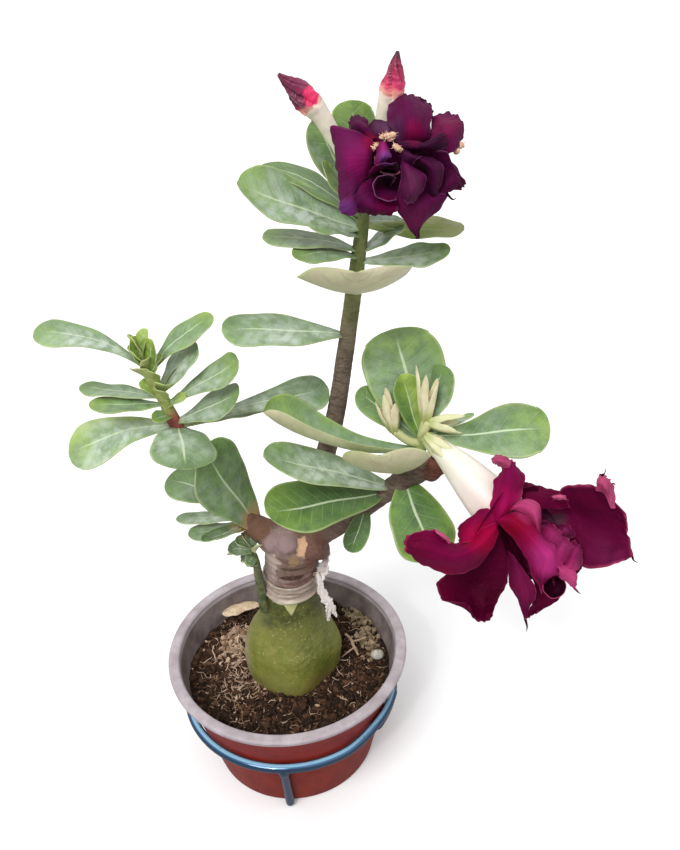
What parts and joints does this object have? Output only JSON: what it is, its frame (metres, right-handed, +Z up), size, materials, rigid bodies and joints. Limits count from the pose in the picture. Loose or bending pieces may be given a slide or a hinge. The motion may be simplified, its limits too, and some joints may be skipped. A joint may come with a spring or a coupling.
{
  "type": "potted desert rose",
  "caption": "Grafted desert rose in flower with a swollen green caudex, forked stems, spoon-shaped leaves and double blooms, in a squat pot held by a wire stand.",
  "frame": {"origin": "centre of the pot's flat underside, on the ground", "axes": "+Z up, -Y towards the viewer and the side that the flowers face, +X to the right as seen in the picture"},
  "size_m": [0.2357, 0.12, 0.3432],
  "materials": {
    "pot_plastic": "satin terracotta red plastic, dusty grey on the lip",
    "coated_wire": "glossy navy coating",
    "soil": "dry crumbly potting mix",
    "caudex_skin": "smooth waxy green bark with tan patches",
    "bark": "dull grey-brown bark with peeling rings and leaf scars",
    "green_stem": "smooth green stem",
    "leaf": "satin green with a pale midrib and a grey bloom",
    "petal": "velvety crimson to dark purple",
    "bud": "satin, cream at the base",
    "graft_tape": "aged translucent tape",
    "dry_leaf": "dry and curled",
    "pale_stone": "rough"
  },
  "bodies": {
    "root": {"caudex": "caudex_skin", "dry_leaf": "dry_leaf", "graft_tape_tail": "graft_tape", "graft_tape_wrap": "graft_tape", "left_bud": "bud", "left_leaf_1": "leaf", "left_leaf_10": "leaf", "left_leaf_11": "leaf", "left_leaf_12": "leaf", "left_leaf_13": "leaf", "left_leaf_14": "leaf", "left_leaf_2": "leaf", "left_leaf_3": "leaf", "left_leaf_4": "leaf", "left_leaf_5": "leaf", "left_leaf_6": "leaf", "left_leaf_7": "leaf", "left_leaf_8": "leaf", "left_leaf_9": "leaf", "lower_leaf_1": "leaf", "lower_leaf_2": "leaf", "lower_leaf_3": "leaf", "lower_leaf_4": "leaf", "lower_leaf_5": "leaf", "middle_leaf": "leaf", "pale_stone": "pale_stone", "pot": "pot_plastic", "right_leaf_1": "leaf", "right_leaf_10": "leaf", "right_leaf_11": "leaf", "right_leaf_12": "leaf", "right_leaf_2": "leaf", "right_leaf_3": "leaf", "right_leaf_4": "leaf", "right_leaf_5": "leaf", "right_leaf_6": "leaf", "right_leaf_7": "leaf", "right_leaf_8": "leaf", "right_leaf_9": "leaf", "scion": "bark", "side_flower": "petal", "soil": "soil", "sucker": "green_stem", "sucker_leaf": "leaf", "top_bud": "bud", "top_flower": "petal", "top_leaf_1": "leaf", "top_leaf_10": "leaf", "top_leaf_11": "leaf", "top_leaf_12": "leaf", "top_leaf_13": "leaf", "top_leaf_2": "leaf", "top_leaf_3": "leaf", "top_leaf_4": "leaf", "top_leaf_5": "leaf", "top_leaf_6": "leaf", "top_leaf_7": "leaf", "top_leaf_8": "leaf", "top_leaf_9": "leaf", "wire_holder": "coated_wire"}
  },
  "joints": []
}
